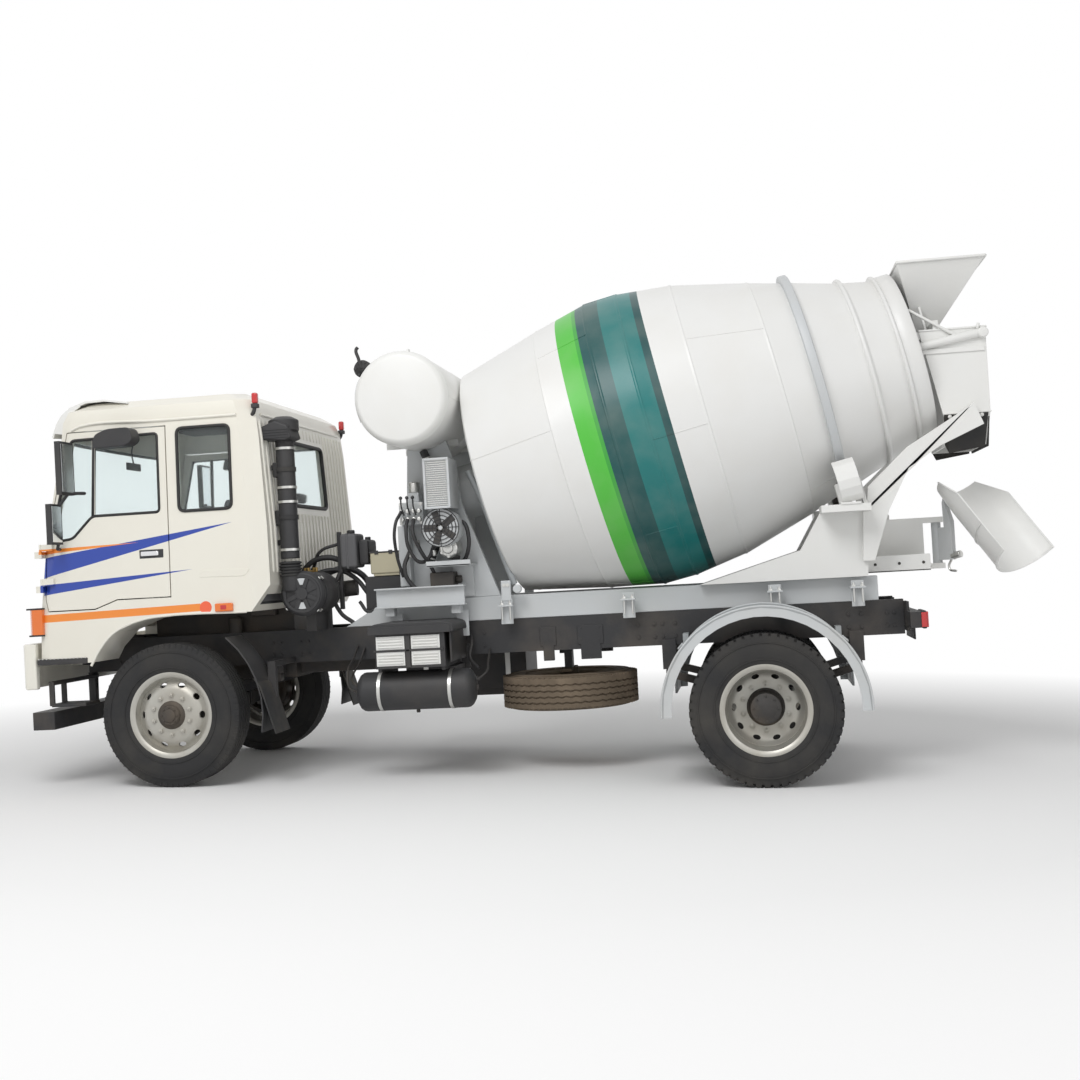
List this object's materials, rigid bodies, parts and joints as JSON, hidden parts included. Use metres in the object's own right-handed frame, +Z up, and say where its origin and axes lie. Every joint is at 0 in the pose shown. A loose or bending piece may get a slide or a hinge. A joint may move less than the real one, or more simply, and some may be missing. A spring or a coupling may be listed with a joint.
{
  "type": "concrete mixer truck",
  "caption": "Two-axle concrete mixer truck with tilting cab, opening doors, steered front wheels, turning inclined drum and swinging discharge chute.",
  "frame": {"origin": "middle of the bottom of the truck, on the ground", "axes": "+Z up, -Y ahead, +X to the left side of the truck"},
  "size_m": [2.78, 7.4402, 3.6515],
  "materials": {
    "cab_ivory": "gloss ivory paint",
    "mixer_white": "satin off-white paint with lime and teal bands on the drum",
    "frame_grey": "satin light grey paint",
    "chassis_black": "satin black chassis paint",
    "rubber_black": "black tyre rubber",
    "rim_silver": "silver paint",
    "cast_iron": "dark cast iron",
    "moulded_black": "black moulding",
    "window_glass": "clear glass",
    "seat_fabric": "woven seat cloth",
    "guard_grey": "grey paint"
  },
  "bodies": {
    "wheel_front_left": {"front_tyre_left": "rubber_black", "front_rim_left": "rim_silver"},
    "wheel_front_right": {"front_tyre_right": "rubber_black", "front_rim_right": "rim_silver"},
    "wheels_rear_left": {"rear_rims_left": "rim_silver", "rear_tyre_outer_left": "rubber_black", "rear_tyre_inner_left": "rubber_black"},
    "wheels_rear_right": {"rear_rims_right": "rim_silver", "rear_tyre_outer_right": "rubber_black", "rear_tyre_inner_right": "rubber_black"},
    "steer_left": {"knuckle_left": "cast_iron"},
    "steer_right": {"knuckle_right": "cast_iron"},
    "cab": {"cab_shell": "cab_ivory", "windscreen": "window_glass", "rear_glass": "window_glass", "side_glass_left": "window_glass", "side_glass_right": "window_glass", "dashboard": "moulded_black", "seat_left": "seat_fabric", "seat_right": "seat_fabric", "snorkel": "moulded_black"},
    "door_left": {"door_left": "cab_ivory", "door_glass_left": "window_glass", "mirror_left": "moulded_black"},
    "door_right": {"door_right": "cab_ivory", "door_glass_right": "window_glass", "mirror_right": "moulded_black"},
    "steering_wheel": {"steering_wheel": "moulded_black"},
    "drum": {"drum": "mixer_white"},
    "roller_left": {"roller_left": "cast_iron"},
    "roller_right": {"roller_right": "cast_iron"},
    "chute_swivel": {"chute_swivel": "frame_grey"},
    "chute": {"discharge_chute": "mixer_white"},
    "root": {"air_cleaner": "moulded_black", "air_tank": "moulded_black", "battery_box": "moulded_black", "charging_hopper": "mixer_white", "chassis_frame": "chassis_black", "discharge_collector": "mixer_white", "drum_gearbox": "frame_grey", "engine_and_gearbox": "cast_iron", "front_axle": "chassis_black", "front_bumper": "cab_ivory", "front_mudguard_left": "moulded_black", "front_mudguard_right": "moulded_black", "front_pedestal": "frame_grey", "fuel_tank": "moulded_black", "mixer_subframe": "frame_grey", "oil_cooler": "frame_grey", "rear_axle": "chassis_black", "rear_mudguard_left": "guard_grey", "rear_mudguard_right": "guard_grey", "rear_pedestal": "mixer_white", "spare_rim": "rim_silver", "spare_tyre": "rubber_black", "underrun_bar_and_steps": "chassis_black", "water_tank": "mixer_white"}
  },
  "joints": [
    {"name": "steer_left", "type": "hinge", "parent": "root", "child": "steer_left", "pos_m": [0.79, -2.573, 0.51753], "axis": [0, -0.0305, 0.9995], "range_deg": [-32, 32]},
    {"name": "steer_right", "type": "hinge", "parent": "root", "child": "steer_right", "pos_m": [-0.79, -2.573, 0.51753], "axis": [0, -0.0305, 0.9995], "range_deg": [-32, 32]},
    {"name": "spin_front_left", "type": "hinge", "parent": "steer_left", "child": "wheel_front_left", "pos_m": [0.98, -2.573, 0.51753], "axis": [1, 0, 0], "continuous": true},
    {"name": "spin_front_right", "type": "hinge", "parent": "steer_right", "child": "wheel_front_right", "pos_m": [-0.98, -2.573, 0.51753], "axis": [1, 0, 0], "continuous": true},
    {"name": "spin_rear_left", "type": "hinge", "parent": "root", "child": "wheels_rear_left", "pos_m": [0.9, 1.667, 0.51753], "axis": [1, 0, 0], "continuous": true},
    {"name": "spin_rear_right", "type": "hinge", "parent": "root", "child": "wheels_rear_right", "pos_m": [-0.9, 1.667, 0.51753], "axis": [1, 0, 0], "continuous": true},
    {"name": "cab_tilt", "type": "hinge", "parent": "root", "child": "cab", "pos_m": [0, -3.55549, 1.07526], "axis": [1, 0, 0], "range_deg": [0, 45]},
    {"name": "door_left_hinge", "type": "hinge", "parent": "cab", "child": "door_left", "pos_m": [1.185, -3.5078, 1.87208], "axis": [0, 0.0305, -0.9995], "range_deg": [0, 68]},
    {"name": "door_right_hinge", "type": "hinge", "parent": "cab", "child": "door_right", "pos_m": [-1.185, -3.5078, 1.87208], "axis": [0, -0.0305, 0.9995], "range_deg": [0, 68]},
    {"name": "steering_wheel_turn", "type": "hinge", "parent": "cab", "child": "steering_wheel", "pos_m": [-0.6, -3.09194, 1.78474], "axis": [0, 0.3823, 0.924], "range_deg": [-540, 540]},
    {"name": "drum_spin", "type": "hinge", "parent": "root", "child": "drum", "pos_m": [0, -0.44182, 2.14884], "axis": [0, 0.9684, 0.2495], "continuous": true},
    {"name": "roller_left_spin", "type": "hinge", "parent": "root", "child": "roller_left", "pos_m": [0.63977, 2.27587, 2.06181], "axis": [0, 0.9684, 0.2495], "continuous": true},
    {"name": "roller_right_spin", "type": "hinge", "parent": "root", "child": "roller_right", "pos_m": [-0.63977, 2.27587, 2.06181], "axis": [0, 0.9684, 0.2495], "continuous": true},
    {"name": "chute_swing", "type": "hinge", "parent": "root", "child": "chute_swivel", "pos_m": [0, 2.95593, 1.61936], "axis": [0, 0.0305, -0.9995], "range_deg": [-125, 30]},
    {"name": "chute_tilt", "type": "hinge", "parent": "chute_swivel", "child": "chute", "pos_m": [0.07071, 3.01623, 1.96136], "axis": [0.7071, -0.7068, -0.0216], "range_deg": [-5, 25]}
  ],
  "couplings": [
    {"joint": "steer_right", "follows": "steer_left", "ratio": 1},
    {"joint": "steering_wheel_turn", "follows": "steer_left", "ratio": 16.875},
    {"joint": "roller_left_spin", "follows": "drum_spin", "ratio": -7.2917},
    {"joint": "roller_right_spin", "follows": "drum_spin", "ratio": -7.2917}
  ]
}
